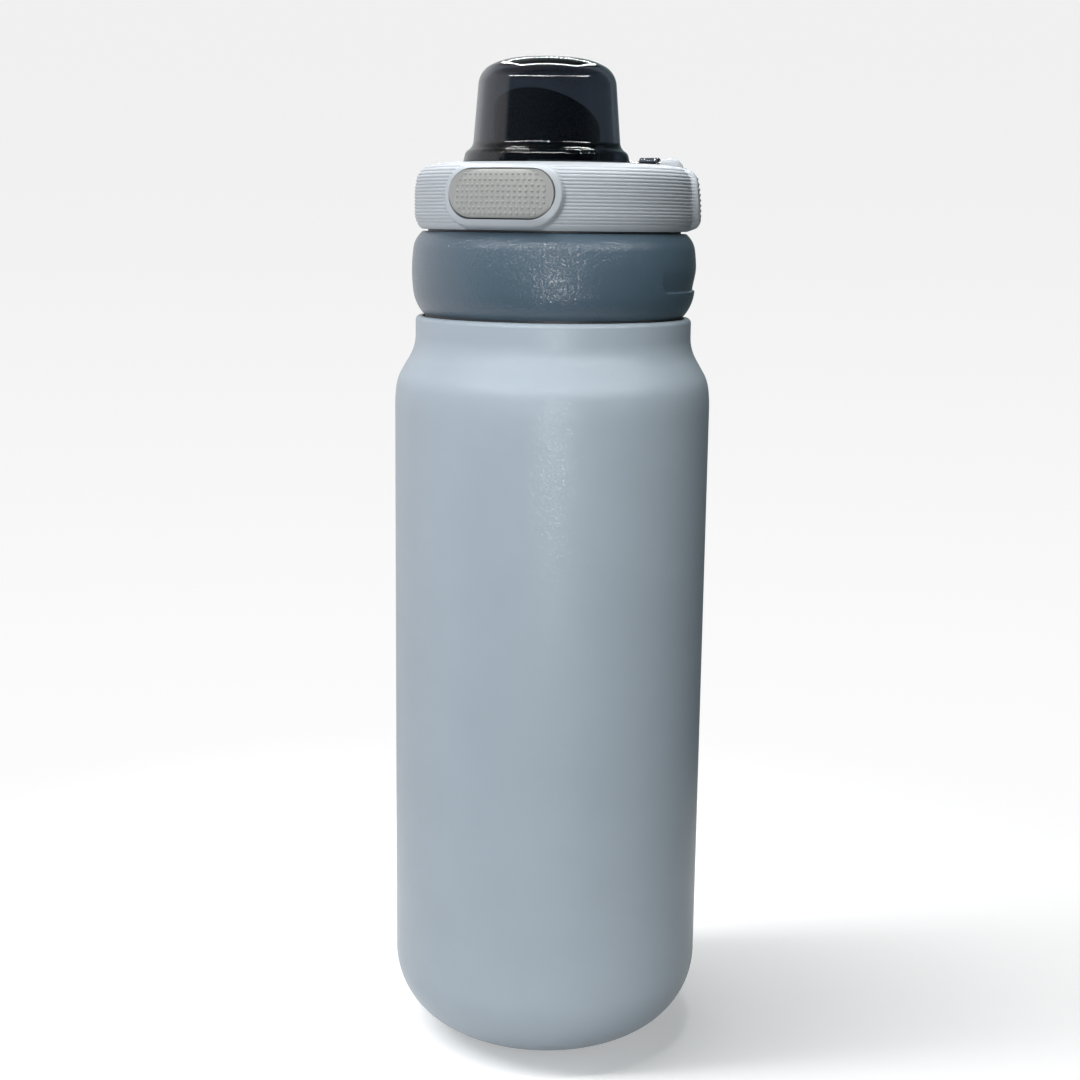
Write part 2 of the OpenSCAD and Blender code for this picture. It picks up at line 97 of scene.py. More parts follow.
# ---- Outlines ----
def arc(start, r, a, b, steps=10):
    """Points along an arc from outward slope a to slope b; r > 0 bulges out, r < 0 is hollow."""
    a, b = math.radians(a), math.radians(b)
    turns = [a + (b - a) * i / steps for i in range(steps + 1)]
    return [
        (start[0] + r * (math.cos(t) - math.cos(a)), start[1] + r * (math.sin(t) - math.sin(a)))
        for t in turns
    ]


def inward(point, slope, depth):
    """The point moved into the wall, against the outward normal of that slope."""
    slope = math.radians(slope)
    return (point[0] - depth * math.cos(slope), point[1] - depth * math.sin(slope))


def line(start, end, steps):
    """Evenly spaced points of a straight stretch, with its end and without its start."""
    return [
        tuple(s + (e - s) * i / steps for s, e in zip(start, end)) for i in range(1, steps + 1)
    ]


def smooth(x):
    """0 below 0, 1 above 1, and a soft S between."""
    x = np.clip(x, 0.0, 1.0)
    return x * x * (3 - 2 * x)


# ---- Meshes ----
CREASE = 32             # edges sharper than this many degrees stay crisp
END_STEPS = 24          # pieces of each round end of a stadium
STRAIGHT_STEPS = 28     # and of each of its straight sides


def mesh_object(name, points, faces, crease=CREASE):
    """A smooth-shaded mesh of points in millimetres; edges sharper than crease stay crisp."""
    mesh = bpy.data.meshes.new(name)
    mesh.from_pydata((np.asarray(points, float) * MM).tolist(), [], faces)
    mesh.validate()
    mesh.shade_smooth()
    mesh.set_sharp_from_angle(angle=math.radians(crease))
    obj = bpy.data.objects.new(name, mesh)
    scene.collection.objects.link(obj)
    return obj


def revolve(name, outline, around=192, shift_v=0.0, reshape=None, crease=CREASE):
    """A closed outline of (r, z) turned round the vertical at v = shift_v, anticlockwise outlines
    facing out. An outline that starts and ends on the axis closes at its two poles.
    reshape(turn, r, z) may move the points, with turn measured from the lid's front or from -Y."""
    path = np.array(outline, float)
    poles = path[0][0] == 0 and path[-1][0] == 0
    turn = np.linspace(0, 2 * math.pi, around, endpoint=False)[:, None]
    r, z = path[None, :, 0], path[None, :, 1]
    r, z = np.broadcast_arrays(r + 0 * turn, z + 0 * turn)
    if reshape:
        r, z = reshape(turn, r, z)
    points = np.stack([r * np.sin(turn), shift_v - r * np.cos(turn), z], axis=2)
    count = len(path)
    faces = []
    last = count - 1 if poles else count
    for i in range(around):
        n = (i + 1) % around
        for k in range(last):
            m = (k + 1) % count
            quad = [i * count + k, n * count + k, n * count + m, i * count + m]
            if poles and k == 0:
                quad = [0, n * count + m, i * count + m]
            elif poles and m == last:
                quad = [i * count + k, n * count + k, last]
            faces.append(quad)
    return mesh_object(name, points.reshape(-1, 3), faces, crease)


def to_lid(obj):
    """Turns a piece made in the lid's frame into its place."""
    obj.data.transform(Matrix.Rotation(lid_turn, 4, "Z"))
    return obj


def prism(name, outline, low, high, axis="z"):
    """A closed outline (anticlockwise) pushed from low to high along an axis of the lid's frame.
    Along "v" it is pushed towards the front: low and high are distances in front of the middle."""
    count = len(outline)
    place = {
        "z": lambda a, b, c: (a, b, c),
        "u": lambda a, b, c: (c, a, b),
        "v": lambda a, b, c: (a, -c, b),
    }[axis]
    points = [place(a, b, c) for c in (low, high) for a, b in outline]
    faces = [list(range(count))[::-1], list(range(count, 2 * count))]
    faces += [[k, (k + 1) % count, (k + 1) % count + count, k + count] for k in range(count)]
    return mesh_object(name, points, faces)


def bands(rings, count):
    """Quads between neighbouring rings of count points each."""
    return [
        [i * count + k, i * count + (k + 1) % count,
         (i + 1) * count + (k + 1) % count, (i + 1) * count + k]
        for i in range(rings - 1)
        for k in range(count)
    ]


def circle(r, at=(0, 0), steps=64):
    turns = [2 * math.pi * k / steps for k in range(steps)]
    return [(at[0] + r * math.cos(t), at[1] + r * math.sin(t)) for t in turns]


def rectangle(left, right, low, high):
    return [(left, low), (right, low), (right, high), (left, high)]


def stadium(width, height, centre_z):
    """Outline of a bar with round ends, anticlockwise as (u, z)."""
    r = height / 2
    reach = (width - height) / 2
    points = []
    for side, start in ((1, -90), (-1, 90)):
        for i in range(END_STEPS + 1):
            t = math.radians(start + 180 * i / END_STEPS)
            points.append((side * reach + r * math.cos(t), centre_z + r * math.sin(t)))
        level = centre_z + side * r
        points += line((side * reach, level), (-side * reach, level), STRAIGHT_STEPS)[:-1]
    return points


def combine(obj, tools, operation="DIFFERENCE", crease=CREASE):
    """Cuts or joins the tool solids with a piece, as solids, and takes the tools away."""
    for tool in tools:
        step = obj.modifiers.new(tool.name, "BOOLEAN")
        step.operation = operation
        step.object = tool
        step.solver = "MANIFOLD"
    done = obj.evaluated_get(bpy.context.evaluated_depsgraph_get())
    mesh = bpy.data.meshes.new_from_object(done)
    obj.modifiers.clear()
    obj.data = mesh
    mesh.shade_smooth()
    mesh.set_sharp_from_angle(angle=math.radians(crease))
    for tool in tools:
        bpy.data.objects.remove(tool)
    return obj


def sweep(name, path, wire, sides=12):
    """A round wire of that radius along points in millimetres, with flat ends."""
    path = np.array(path, float)
    ahead = np.gradient(path, axis=0)
    ahead /= np.linalg.norm(ahead, axis=1)[:, None]
    side = np.cross(ahead[0], (0.3, 0.5, 0.8))
    points = []
    for here, way in zip(path, ahead):
        side = side - way * np.dot(side, way)
        side /= np.linalg.norm(side)
        other = np.cross(way, side)
        for k in range(sides):
            t = 2 * math.pi * k / sides
            points.append(here + wire * (math.cos(t) * side + math.sin(t) * other))
    rings = len(path)
    faces = bands(rings, sides)
    faces += [list(range(sides))[::-1], [(rings - 1) * sides + k for k in range(sides)]]
    return mesh_object(name, points, faces)


def place(obj, body, material, slot, *nodes):
    """Gives a finished piece its material and its body, and hides the CAD nodes it stands for; slot is not
    used.
    """
    obj.data.materials.clear()
    obj.data.materials.append(material)
    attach(obj, body)
    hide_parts(*nodes)
    return obj


# ---- Materials ----
CLOUD_MM = 14       # size of the soft colour mottling


def new_material(name, colour, roughness, **sockets):
    material = bpy.data.materials.new(name)
    material.use_nodes = True
    shader = material.node_tree.nodes["Principled BSDF"]
    shader.inputs["Base Color"].default_value = (*colour, 1)
    shader.inputs["Roughness"].default_value = roughness
    for socket, value in sockets.items():
        shader.inputs[socket.replace("_", " ")].default_value = value
    return material, shader


def noise(material, cell_mm, detail=2.0, stretch=(1, 1, 1)):
    """Noise in the piece's own coordinates with cells of about cell_mm."""
    tree = material.node_tree
    where = tree.nodes.new("ShaderNodeTexCoord")
    scale = tree.nodes.new("ShaderNodeMapping")
    scale.inputs["Scale"].default_value = [s / (cell_mm * MM) for s in stretch]
    texture = tree.nodes.new("ShaderNodeTexNoise")
    texture.inputs["Scale"].default_value = 1.0
    texture.inputs["Detail"].default_value = detail
    tree.links.new(where.outputs["Object"], scale.inputs["Vector"])
    tree.links.new(scale.outputs["Vector"], texture.inputs["Vector"])
    return texture.outputs["Fac"]


def map_range(tree, value, start, end, low, high, soft=True):
    """Maps start..end to low..high and holds the value beyond; soft eases both ends."""
    node = tree.nodes.new("ShaderNodeMapRange")
    if soft:
        node.interpolation_type = "SMOOTHSTEP"
    for socket, number in zip(("From Min", "From Max", "To Min", "To Max"), (start, end, low, high)):
        node.inputs[socket].default_value = number
    tree.links.new(value, node.inputs["Value"])
    return node.outputs["Result"]


def worked_out(tree, operation, a, b):
    """One value from two, by a Math node's operation."""
    node = tree.nodes.new("ShaderNodeMath")
    node.operation = operation
    tree.links.new(a, node.inputs[0])
    tree.links.new(b, node.inputs[1])
    return node.outputs["Value"]


def spread(material, value, low, high, start=0.3, end=0.7):
    """Maps a noise value from start..end to low..high."""
    return map_range(material.node_tree, value, start, end, low, high, soft=False)


def tint(material, shader, value, dark, light):
    """Base colour runs between two colours with the value."""
    tree = material.node_tree
    mix = tree.nodes.new("ShaderNodeMix")
    mix.data_type = "RGBA"
    mix.inputs["A"].default_value = (*dark, 1)
    mix.inputs["B"].default_value = (*light, 1)
    tree.links.new(value, mix.inputs["Factor"])
    tree.links.new(mix.outputs["Result"], shader.inputs["Base Color"])


def bump(material, shader, value, height_mm, before=None, socket="Normal"):
    """Adds relief of that height to the shader's normal, and gives its output for more relief."""
    tree = material.node_tree
    node = tree.nodes.new("ShaderNodeBump")
    node.inputs["Strength"].default_value = 1.0
    node.inputs["Distance"].default_value = height_mm * MM
    tree.links.new(value, node.inputs["Height"])
    if before is not None:
        tree.links.new(before, node.inputs["Normal"])
    tree.links.new(node.outputs["Normal"], shader.inputs[socket])
    return node.outputs["Normal"]


def shade(colour, factor):
    return tuple(c * factor for c in colour)


def powder_coat(name, colour, grain_mm, grain_height, roughness, coat):
    """Matt paint under a clear powder skin whose grains catch the light one by one.
    roughness is the skin's own, and coat is its strength."""
    material, shader = new_material(name, colour, 0.6, Specular_IOR_Level=0.3)
    cloud = spread(material, noise(material, CLOUD_MM, 3), 0, 1)
    tint(material, shader, cloud, shade(colour, 0.98), shade(colour, 1.02))
    shader.inputs["Coat Weight"].default_value = coat
    shader.inputs["Coat Roughness"].default_value = roughness
    bump(material, shader, noise(material, grain_mm, 1.0), grain_height, socket="Coat Normal")
    bump(material, shader, noise(material, grain_mm * 7, 1.0), grain_height * 0.4)
    return material


def textured(name, colour, roughness, grain_mm, grain_height, mottle=0.05, **sockets):
    """A coat or moulding with a fine grain, a soft colour mottling and uneven gloss."""
    material, shader = new_material(name, colour, roughness, **sockets)
    cloud = spread(material, noise(material, CLOUD_MM, 3), 0, 1)
    tint(material, shader, cloud, shade(colour, 1 - mottle), shade(colour, 1 + mottle))
    fine = noise(material, grain_mm, 2.5)
    gloss = spread(material, fine, roughness - 0.06, roughness + 0.06)
    material.node_tree.links.new(gloss, shader.inputs["Roughness"])
    orange_peel = bump(material, shader, noise(material, grain_mm * 7, 1.0), grain_height * 1.6)
    bump(material, shader, fine, grain_height, orange_peel)
    return material


def brushed(name, colour, roughness, lines_mm):
    """Metal with fine lines round its axis."""
    material, shader = new_material(name, colour, roughness, Metallic=1.0)
    streaks = noise(material, lines_mm, 3, stretch=(0.04, 0.04, 1.0))
    tint(material, shader, spread(material, streaks, 0, 1), shade(colour, 0.86), shade(colour, 1.06))
    gloss = spread(material, streaks, roughness - 0.08, roughness + 0.1)
    material.node_tree.links.new(gloss, shader.inputs["Roughness"])
    bump(material, shader, streaks, 0.01)
    return material


def smoked_clear(name, colour):
    """Dark clear plastic, polished, faintly wavy, and darker where it is thicker."""
    tone, dark_per_mm, wave_mm, wave_height = (0.1, 0.16, 0.25), 0.36, 9, 0.006
    material, shader = new_material(name, colour, 0.02, Transmission_Weight=1.0, IOR=1.5)
    depth = material.node_tree.nodes.new("ShaderNodeVolumeAbsorption")
    depth.inputs["Color"].default_value = (*tone, 1)
    depth.inputs["Density"].default_value = dark_per_mm / MM
    output = material.node_tree.nodes["Material Output"]
    material.node_tree.links.new(depth.outputs["Volume"], output.inputs["Volume"])
    waves = noise(material, wave_mm, 1.0)
    tint(material, shader, spread(material, waves, 0, 1), shade(colour, 0.94), shade(colour, 1.06))
    bump(material, shader, waves, wave_height)
    return material


PAINT = powder_coat(
    "painted_body", (0.352, 0.414, 0.468), grain_mm=0.6, grain_height=0.14, roughness=0.22, coat=0.4
)
STEEL = brushed("bare_steel", (0.62, 0.61, 0.59), 0.3, 0.35)
COLLAR = powder_coat(
    "collar_coat", (0.058, 0.097, 0.133), grain_mm=0.55, grain_height=0.19, roughness=0.21, coat=0.8
)
INSERT = textured("insert_plastic", (0.045, 0.052, 0.06), 0.5, 0.35, 0.012)
SEAL_DARK = textured("seal_dark", (0.03, 0.031, 0.033), 0.62, 0.3, 0.008)
SEAL_LIGHT = textured("seal_light", (0.62, 0.63, 0.62), 0.55, 0.3, 0.008, Subsurface_Weight=0.15)
RING = textured("ring_plastic", (0.452, 0.487, 0.522), 0.5, 0.28, 0.012, 0.02, Specular_IOR_Level=0.35)
CORE = textured("core_plastic", (0.035, 0.038, 0.042), 0.48, 0.35, 0.012)
SPOUT = textured("spout_plastic", (0.018, 0.026, 0.042), 0.28, 0.4, 0.006)
SMOKED = smoked_clear("smoked_dome", (0.215, 0.24, 0.275))
PAD = textured("pad_rubber", (0.337, 0.346, 0.332), 0.6, 0.22, 0.014, 0.03)
LATCH = textured("latch_plastic", (0.07, 0.072, 0.078), 0.45, 0.35, 0.012)
WIRE = brushed("spring_steel", (0.55, 0.55, 0.55), 0.28, 0.2)


# ---- Threads ----
def thread_starts(name, r, depth, height, mid_z, span, lead):
    """Three ridges that climb along short arcs and sink into the wall at both ends.
    depth > 0 stands out from a shaft, depth < 0 into a bore."""
    starts, steps, run_out, sunk, least = 3, 48, math.radians(9), 0.3, 0.15
    span = math.radians(span)
    root = -sunk if depth > 0 else sunk
    section = [(root, -0.5), (root, 0.5), (depth * 0.6, 0.33), (depth * 0.92, 0.22), (depth, 0.12)]
    section += [(depth, -0.12), (depth * 0.92, -0.22), (depth * 0.6, -0.33)]
    side = len(section)
    order = 1 if depth < 0 else -1
    faces = [quad[::order] for quad in bands(steps + 1, side)]
    faces.append(list(range(side))[::-order])
    faces.append([steps * side + k for k in range(side)][::order])
    pieces = []
    for start in range(starts):
        points = []
        for i in range(steps + 1):
            along = span * (i / steps - 0.5)
            turn = 2 * math.pi * start / starts + along
            rise = min(1.0, (span / 2 - abs(along)) / run_out)
            level = mid_z + lead * along / (2 * math.pi)
            for out, up in section:
                reach = r + (root + (out - root) * (least + (1 - least) * rise))
                points.append((reach * math.cos(turn), reach * math.sin(turn), level + up * height))
        pieces.append(mesh_object(f"{name}_{start}", points, faces, 50))
    return pieces


# ---- Steel body ----
shell_wall = 0.75
foot_round = 18
neck_r = 31.75
mouth_bore = 30.2
foot_flat_r = body_r - foot_round
lead_z = 150.5
LEAD, BROW = 7.5, 30.3      # slopes of the shoulder, in degrees
lead_bend, brow_bend = 35, 10
shoulder_fall = 3


def shell_side(depth):
    """The body's skin from the foot to the neck, moved inward by depth."""
    lead = arc((body_r, lead_z), lead_bend, 0, LEAD)[-1]
    brow = arc(lead, brow_bend, LEAD, BROW)[-1]
    fall = (brow[0] - shoulder_fall * math.tan(math.radians(BROW)), brow[1] + shoulder_fall)
    hollow = (fall[0] - neck_r) / (1 - math.cos(math.radians(BROW)))
    return (
        arc((foot_flat_r, depth), foot_round - depth, -90, 0, 28)
        + line((body_r - depth, foot_round), (body_r - depth, lead_z), 24)[:-1]
        + arc((body_r - depth, lead_z), lead_bend - depth, 0, LEAD, 8)
        + arc(inward(lead, LEAD, depth), brow_bend - depth, LEAD, BROW, 10)[1:]
        + arc(inward(fall, BROW, depth), -hollow - depth, BROW, 0, 12)
    )


def outer_shell():
    rim_bend, rim_slope = 1.1, 75
    lip_r, rim_low = mouth_bore + 0.6, body_top - 2.5
    outline = (
        shell_side(0)
        + arc((neck_r, body_top - rim_bend), rim_bend, 0, rim_slope, 8)
        + [(lip_r, body_top), (lip_r, rim_low), (neck_r - shell_wall, rim_low)]
        + shell_side(shell_wall)[::-1]
    )
    shell = revolve("body_shell", outline, 256)
    place(shell, "flask", PAINT, "painted_body", "outer_shell")


def inner_flask():
    wall, gap, floor_z, ledge, edge = 0.6, 1.75, 8, 149.6, 0.15
    foot_bend, waist_bend, waist_slope = 15, 9, 48
    r = body_r - shell_wall - gap - wall
    waist = (r, 134)

    def side(t):
        """The flask's skin from its floor to its throat, moved outward by t, and the throat's radius."""
        turn = arc(waist, waist_bend, 0, waist_slope)[-1]
        throat = arc(turn, -waist_bend, waist_slope, 0)[-1]
        return (
            arc((r - foot_bend, floor_z - t), foot_bend + t, -90, 0, 18)
            + arc((waist[0] + t, waist[1]), waist_bend + t, 0, waist_slope, 10)
            + arc(inward(turn, waist_slope, -t), -waist_bend + t, waist_slope, 0, 10)[1:]
        ), throat[0]

    inner, throat_r = side(0)
    outer, _ = side(wall)
    under_ledge = 7     # points of the throat whose place the ledge takes
    outline = (
        [(0, floor_z - wall)]
        + outer
        + [(throat_r + wall, ledge - 2 * wall), (mouth_bore + wall, ledge - wall)]
        + [(mouth_bore + wall, body_top), (mouth_bore + edge, body_top), (mouth_bore, body_top - edge)]
        + [(mouth_bore, ledge), (throat_r - 2.4, ledge), (throat_r - 2.6, ledge - 0.2)]
        + inner[:-under_ledge][::-1]
        + [(0, floor_z)]
    )
    flask = revolve("flask_wall", outline, 192)
    threads = thread_starts(
        "neck_thread", mouth_bore, depth=-1.35, height=2.2, mid_z=157.3, span=100, lead=8
    )
    combine(flask, threads, "UNION")
    place(flask, "flask", STEEL, "bare_steel", "inner_flask")


# ---- Collar ----
scoop_away = 111        # degrees from the lid's front to the middle of each finger scoop
scoop_turns = [math.degrees(-lid_turn) + side * scoop_away for side in (-1, 1)]


def scoop_depth(turn, z):
    """Finger scoops: a step along the bottom, soft sides, and a slope that runs out upward."""
    floor_z, top_z, half_arc, corner = 177.6, 183.2, 42, 2.4
    skin_r, step, deepest = 32.8, 0.45, 0.62
    depth = np.zeros(np.broadcast(turn, z).shape)
    for middle in scoop_turns:
        away = np.abs((np.degrees(turn) + middle + 180) % 360 - 180)
        inside = np.radians(half_arc - away) * skin_r
        above = z - floor_z
        edge = np.where(
            (inside < corner) & (above < corner),
            corner - np.hypot(corner - inside, corner - above),
            np.minimum(inside, above),
        )
        fade = 1 - smooth(above / (top_z - floor_z))
        depth = np.maximum(depth, smooth(edge / step + 0.35) * fade)
    return deepest * depth


def collar_shell():
    foot_r, seat_r, wall_r, tube_r, edge = 30.05, 30.1, 29.65, 24.05, 0.2
    deck_low, skin_from = collar_top - 2, 31
    foot = arc((foot_r, collar_low), 10, -40, -7, 14)
    belly = arc(foot[-1], 36.8, -7, 8, 90)
    brow = arc(belly[-1], 5.7, 8, 50, 12)
    outline = (
        [(wall_r, collar_low)]
        + foot
        + belly[1:]
        + brow[1:]
        + [(seat_r, collar_top), (tube_r + edge, collar_top), (tube_r, collar_top - edge)]
        + [(tube_r, deck_low), (wall_r, deck_low)]
    )

    def with_scoops(turn, r, z):
        return np.where(r > skin_from, r - scoop_depth(turn, z), r), z

    shell = revolve("collar", outline, 480, reshape=with_scoops)
    place(shell, "collar", COLLAR, "collar_coat", "collar_shell")


def collar_insert():
    low, plug_top, land_low, land_top = 150.3, 169, 170.2, collar_top - 2.05
    plug_r, land_r, tube_r, bore = 27.2, 29.6, 24, 21.5
    throat_r, throat_top, step_z = 24.6, 168, 172
    groove_r, groove_top = 25.8, 152.6
    cup_r, cup_floor = 27.9, 173.6
    lip = 0.8
    outline = (
        [(throat_r, low + 0.3), (throat_r + 0.3, low), (groove_r, low), (groove_r, groove_top)]
        + [(plug_r, groove_top), (plug_r, plug_top), (land_r, land_low), (land_r, land_top)]
        + [(cup_r, land_top), (cup_r, cup_floor + 0.2), (cup_r - 0.2, cup_floor)]
        + [(tube_r + 0.3, cup_floor), (tube_r, cup_floor + 0.3)]
        + arc((tube_r, mouth_top - lip), lip, 0, 90, 6)
        + arc((bore + lip, mouth_top), lip, 90, 180, 6)
        + [(bore, step_z + 0.8), (bore + 0.4, step_z), (throat_r, throat_top)]
    )
    insert = revolve("collar_plug", outline, 192)
    threads = thread_starts("plug_thread", plug_r, depth=1.35, height=2.2, mid_z=161.5, span=100, lead=8)
    threads += thread_starts("mouth_thread", tube_r, depth=0.9, height=1.5, mid_z=193.4, span=90, lead=5)
    combine(insert, threads, "UNION")
    place(insert, "collar", INSERT, "insert_plastic", "collar_insert")


def neck_seal():
    """Two round lips on a flat band."""
    low, high = size_of("neck_gasket")
    inner, lip_slope = 25.85, 70
    profile = (
        [(inner, low.z), (inner + 1.8, low.z)]
        + arc((inner + 2.2, low.z + 0.35), 0.45, -lip_slope, lip_slope, 8)
        + [(inner + 1.9, low.z + 1.3), (inner + 1.9, low.z + 1.6)]
        + arc((inner + 2.1, low.z + 2.0), 0.4, -lip_slope, lip_slope, 8)
        + [(inner + 1.8, high.z), (inner, high.z)]
    )
    seal = revolve("neck_seal", profile, 160)
    place(seal, "neck_seal", SEAL_DARK, "seal_dark", "neck_gasket")


def mouth_seal():
    low, high = size_of("mouth_gasket")
    inner, outer, edge = 20.5, 25.0, 0.25
    profile = (
        [(inner + 0.4, low.z), (outer - 2 * edge, low.z)]
        + arc((outer - edge, low.z + edge), edge, -60, 0, 4)
        + [(outer, high.z - 0.2), (outer - 0.2, high.z), (inner + 0.3, high.z)]
        + [(inner, low.z + 0.7), (inner + 0.05, low.z + 0.3)]
    )
    seal = revolve("mouth_seal", profile, 160)
    place(seal, "mouth_seal", SEAL_LIGHT, "seal_light", "mouth_gasket")


def dome_seal():
    low, high = size_of("dome_gasket")
    wide = 1.7
    inner = (high.x - low.x) / 2 - wide
    profile = (
        [(inner, low.z), (inner + wide, low.z), (inner + wide, high.z - 0.35)]
        + arc((inner + 1.45, high.z - 0.3), 0.3, 0, 80, 5)
        + [(inner + 0.5, high.z), (inner, high.z - 0.3)]
    )
    seal = to_lid(revolve("dome_seal", profile, 160, -dome_shift))
    place(seal, "upper_lid", SEAL_DARK, "seal_dark", "dome_gasket")


def spout_seal():
    low, high = size_of("spout_oring")
    ring_r, wire_r = 12.55, 0.6
    middle = (low.z + high.z) / 2
    profile = [(ring_r + wire_r * c, middle + wire_r * s) for c, s in circle(1, steps=20)]
    seal = to_lid(revolve("spout_seal_ring", profile, 128, -dome_shift))
    place(seal, "upper_lid", SEAL_DARK, "seal_dark", "spout_oring")


# ---- Lid ring ----
side_turn = math.radians(120)
frame_turns = (0.0, side_turn, -side_turn)
pad_z = 198.45
pad_w, pad_h = 24.2, 10.3
pad_gap = 0.25
deck_top = 205.3
groove_first, groove_pitch, groove_count = 192.2, 0.745, 18
spout_r = 11.9


def profile_radius(path):
    """Radius as a function of height along an outline that only climbs."""
    z = np.array([p[1] for p in path])
    r = np.array([p[0] for p in path])
    return lambda height: np.interp(height, z, r)


ring_rim_r = 30.3
ring_foot = arc((30.84, ring_low + 0.4), 5.5, -38, 0, 12)
ring_belly = arc((32, 197.4), 22, 0, 11, 12)
ring_brow = arc(ring_belly[-1], 4.22, 11, 80, 16)
ring_radius = profile_radius([(ring_rim_r, ring_low)] + ring_foot + ring_belly + ring_brow)
frame_foot = arc((31.7, 191.1), 3.2, -62, 0, 12)
frame_belly = arc((33.4, frame_foot[-1][1] + 0.4), 45, 0, 9, 10)
frame_brow = arc(frame_belly[-1], 4.2, 9, 75, 14)
frame_skin = [(30.9, ring_low)] + frame_foot + frame_belly + frame_brow + [(29.6, 205.28)]
frame_radius = profile_radius(frame_skin)


def rib_relief(z):
    """Depth below the ring's skin: rounded ribs between narrow grooves."""
    deep, half_wide = 0.2, 0.2      # the width is a share of the pitch
    phase = (z - groove_first) / groove_pitch
    to_groove = np.abs(phase - np.round(phase))
    in_band = (phase > -0.5) & (phase < groove_count - 0.5)
    return np.where(in_band, deep * np.exp(-((to_groove / half_wide) ** 2)), 0.0)


def frame_share(turn, z):
    """How far a point of the ring belongs to one of the smooth oval frames, 0 to 1."""
    end_r, half_length, slope, skin_r = 8.0, 15.1, 1.35, 33.0
    share = np.zeros(np.broadcast(turn, z).shape)
    for middle in frame_turns:
        away = np.abs((turn - middle + math.pi) % (2 * math.pi) - math.pi) * skin_r
        along = np.maximum(away - (half_length - end_r), 0)
        inside = end_r - np.hypot(along, z - pad_z)
        share = np.maximum(share, smooth(inside / slope))
    return share


def grip_skin(turn, r, z):
    """The ribbed skin with the frames raised on it; points inside the wall stay."""
    near = 0.02
    skin = (r > ring_radius(z) - near) & (z > ring_low + near / 2) & (z < deck_top - near)
    ribbed = r - rib_relief(z)
    share = frame_share(turn, z)
    raised = ribbed + (np.maximum(frame_radius(z), r) - ribbed) * share
    return np.where(skin, raised, r), z


def pin_bore(name):
    """The bore for the hinge pin, along the hinge line."""
    bore_r, reach = 0.95, 21.3
    return prism(name, circle(bore_r, (hinge_back, hinge_at.z), 32), -reach, reach, "u")


def upper_ring():
    bore, deck_edge, deck_low = 29, 27, deck_top - 2
    levels = np.arange(ring_low + 0.5, ring_brow[-1][1], groove_pitch / 9)
    skin = [(float(ring_radius(z)), float(z)) for z in levels]
    outline = (
        [(0, deck_low), (bore, deck_low), (bore, ring_low), (ring_rim_r, ring_low)]
        + skin
        + [ring_brow[-1], (deck_edge, deck_top), (0, deck_top)]
    )
    ring = revolve("lid_ring", outline, 720, reshape=grip_skin)
    combine(ring, [lug("lug_left", -1), lug("lug_right", 1)], "UNION")
    at_dome, below, above = (0, -dome_shift), deck_low - 1, deck_top + 1
    seal_r, seal_deep, trough_r = 16.8, 1.1, 2.2
    hinge_half, tooth_half = 18.5, 3.2
    tools = [
        prism("spout_hole", circle(spout_r + 0.15, at_dome, 96), below, above),
        prism("seal_seat", circle(seal_r, at_dome, 128), deck_top - seal_deep, above),
        prism("plate_recess", rectangle(-hinge_half, hinge_half, 11.6, hinge_back), 203.95, 208),
        prism("knuckle_trough", circle(trough_r, (hinge_back, hinge_at.z)), -hinge_half, hinge_half, "u"),
        prism("tooth_slot", rectangle(-tooth_half, tooth_half, -25.8, -22.8), below, above),
        pin_bore("ring_pin_bore"),
    ]
    window = stadium(pad_w + 2 * pad_gap, pad_h + 2 * pad_gap, pad_z)
    push_from, grip_from, outside = 28.2, 26, 40
    for k, turn in enumerate(frame_turns):
        cutter = prism(f"window_{k}", window, push_from if k == 0 else grip_from, outside, "v")
        cutter.data.transform(Matrix.Rotation(turn, 4, "Z"))
        tools.append(cutter)
    tools.append(flange_pocket())
    combine(ring, tools)
    place(to_lid(ring), "upper_lid", RING, "ring_plastic", "upper_ring")


def flange_pocket():
    """Room inside the ring for the flange of the latch, behind the push pad."""
    flange_extra, flange_out, low, high = 2, 30.9, 189, 203
    window = stadium(pad_w + flange_extra + 0.6, pad_h + flange_extra + 0.4, pad_z)
    pocket = prism("flange_pocket", window, 20, 40, "v")
    bound = prism("pocket_bound", circle(flange_out + 0.15, steps=256), low, high)
    return combine(pocket, [bound], "INTERSECT")


def lug(name, side):
    """A soft mound over one end of the hinge pin, falling to the ring's brow."""
    long, wide, tall = 3.4, 2.5, 3.7
    lug_u, lug_z, last = 21, 204, 84
    turns = np.radians(np.linspace(-last, last, 29))
    outline = [(0, -tall)] + [(long * math.cos(t), tall * math.sin(t)) for t in turns] + [(0, tall)]
    mound = revolve(name, outline, 64)
    mound.data.transform(
        Matrix.Translation(Vector((side * lug_u, hinge_back, lug_z)) * MM)
        @ Matrix.Diagonal((1, wide / long, 1, 1))
    )
    return mound


def barrel(name, reach, r, edge=0.2):
    """A rod along the hinge line from reach[0] to reach[1], with rounded edges at both ends."""
    outline = [(0, reach[0]), (r - edge, reach[0])]
    outline += arc((r - edge, reach[0]), edge, -90, 0, 6)[1:]
    outline += arc((r, reach[1] - edge), edge, 0, 90, 6)
    outline += [(0, reach[1])]
    rod = revolve(name, outline, 64)
    rod.data.transform(
        Matrix.Translation(Vector((0, hinge_back, hinge_at.z)) * MM) @ Matrix.Rotation(math.pi / 2, 4, "Y")
    )
    return rod


# ---- Dotted pads ----
pad_low = (32.95, 193.1)
pad_belly = arc((33.2, 194.3), 42, 0, 10, 10)
pad_radius = profile_radius([pad_low] + pad_belly + arc(pad_belly[-1], 5, 10, 40, 8))
DOT_ROWS = (14, 16, 17, 17, 17, 17, 16, 14)


def on_pad(u, z, lift=0.0):
    """The point of the pad's front face at that place, lifted off it."""
    r = float(pad_radius(z)) + lift
    return (u, -math.sqrt(max(r * r - u * u, 0)), z)


